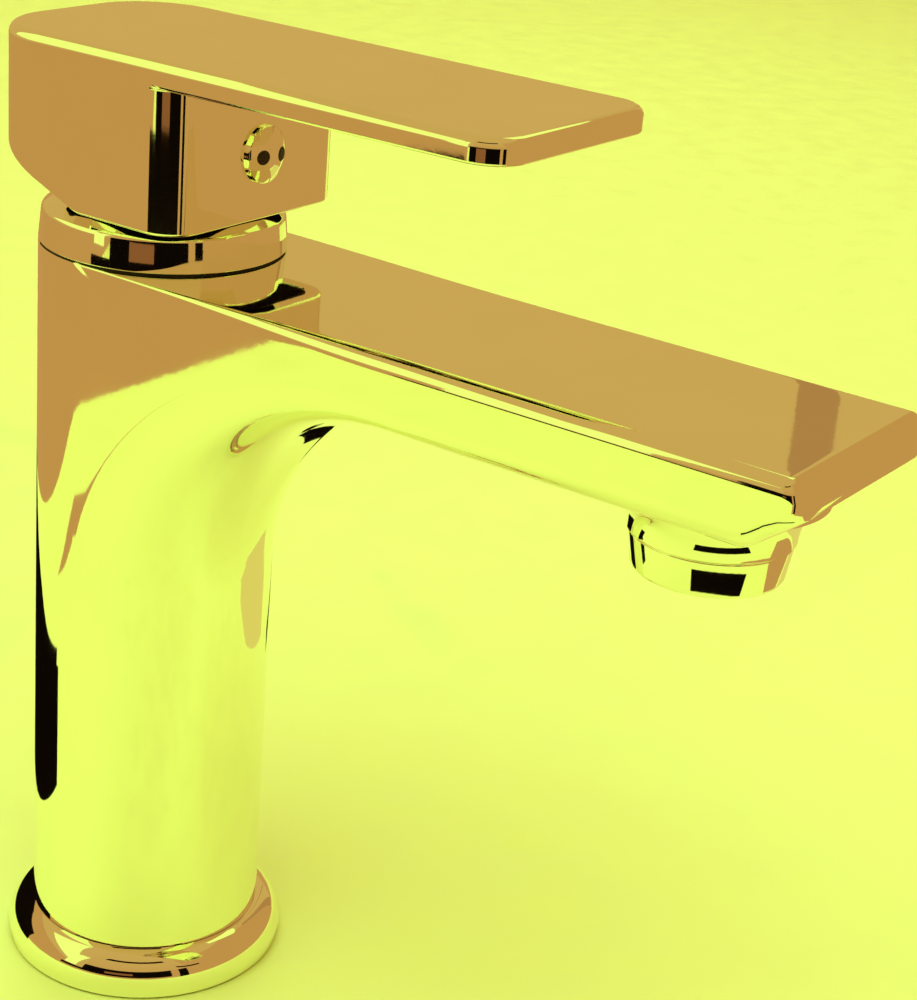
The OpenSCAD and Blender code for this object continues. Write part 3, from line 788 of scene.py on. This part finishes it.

# Painted reflections of the edges of the basin and of dark patches on it: glowing cards that only
# reflections see, lying just above the floor
FLAT_Z, PLATE_Z = 0.001, 0.002
card("left_counter_reflection", flat([(-0.26, WALL_Y), (-0.216, 0.165), (-0.18, 0.148), (-0.14, 0.155),
                           (-0.10, WALL_Y)], FLAT_Z), TAN)
card("dark_plate_reflection", flat([(0.154, 0.245), (0.071, 0.209), (0.0, 0.176), (-0.042, 0.148), (-0.081, 0.127),
                         (-0.07, 0.111), (-0.044, 0.093), (-0.02, 0.072), (0.0, 0.065), (0.023, 0.09),
                         (0.3, 0.22)], PLATE_Z), BLACK)
card("dark_box_reflection", [(-0.055, 0.066, 0.0), (0.12, 0.075, 0.0), (0.12, 0.075, 0.07), (0.05, 0.07, 0.058),
                  (-0.01, 0.066, 0.048), (-0.055, 0.066, 0.03)], BLACK)
card("dark_streak_reflection", flat([(0.135, 0.015), (0.15, 0.015), (0.18, 0.08), (0.16, 0.06)], FLAT_Z), BLACK)
card("right_counter_reflection", flat([(0.15, -0.03), (0.12, -0.10), (0.12, -0.14), (0.15, -0.17), (0.5, -0.2),
                            (0.5, -0.03)], FLAT_Z), PALE)
card("front_counter_reflection", flat([(0.15, -0.19), (0.10, -0.22), (0.12, -0.6), (1.5, -0.6), (1.5, -0.2)],
                            FLAT_Z), TAN)

# Painted reflections of the dark side of the room, which the block's faces, the cap and the column show:
# black, brown and tan glowing cards that only reflections see
upright("camera_side", around(0.41, 206, 276), 0.035, 0.20, BLACK)
upright("camera_low", around(0.41, 276, 296), 0.035, 0.080, BLACK)
upright("camera_brown", around(0.408, 236, 258, 3), 0.084, 0.13, BROWN)
upright("camera_gleam", around(0.41, 200, 206, 2), 0.0, 0.20, TAN)
upright("camera_line", around(0.41, 193, 200, 2), 0.0, 0.20, BLACK)

# Painted reflections of the right side of the room, of the windows and of the dark strip, which the tops
# show: glowing cards that only reflections see
upright("right_side", around(0.36, 95, 193), 0.0, 0.6, TAN)
upright("right_window_reflection", around(0.34, 78, 106), 0.40, 0.66, BRIGHT)
upright("wall_window_reflection", [(-0.45, NEAR_WALL_Y), (-0.03, NEAR_WALL_Y)], 0.20, 0.43, BRIGHT)
upright("left_window_reflection", around(0.45, 282, 302), 0.10, 0.50, BRIGHT)
upright("high_strip", around(0.5, 205, 272), 0.75, 0.95, BLACK)
upright("far_right", around(3.0, 85, 95, 3), 0.2, 3.0, DULL_TAN)

# Painted reflection: a dark band around the outlet, which its polished shell shows, made of black glowing
# cards that only reflections see
outlet_dark_band = [(x, y + outlet_y * MM) for x, y in around(0.05, 190, 262)]
upright("outlet_dark_band", outlet_dark_band, 0.081, 0.0955, BLACK)

# The camera looks down at the part from its front left
CAMERA_AT = Vector((-0.2925, -0.2650, 0.2582))
YAW, PITCH, ROLL = 0.985, 0.3802, 0.084
ahead = Vector((math.sin(YAW) * math.cos(PITCH), math.cos(YAW) * math.cos(PITCH), -math.sin(PITCH)))
level_right = ahead.cross(Vector((0, 0, 1))).normalized()
level_up = level_right.cross(ahead)
right = math.cos(ROLL) * level_right + math.sin(ROLL) * level_up
up = -math.sin(ROLL) * level_right + math.cos(ROLL) * level_up
lens = bpy.data.cameras.new("camera")
lens.lens = 79.97
lens.sensor_width = 36.0
lens.shift_x = -0.0105
lens.shift_y = -0.012
camera = bpy.data.objects.new("camera", lens)
bpy.context.scene.collection.objects.link(camera)
camera.matrix_world = Matrix.Translation(CAMERA_AT) @ Matrix((right, up, -ahead)).transposed().to_4x4()
bpy.context.scene.camera = camera
bpy.context.scene.view_settings.view_transform = "Standard"
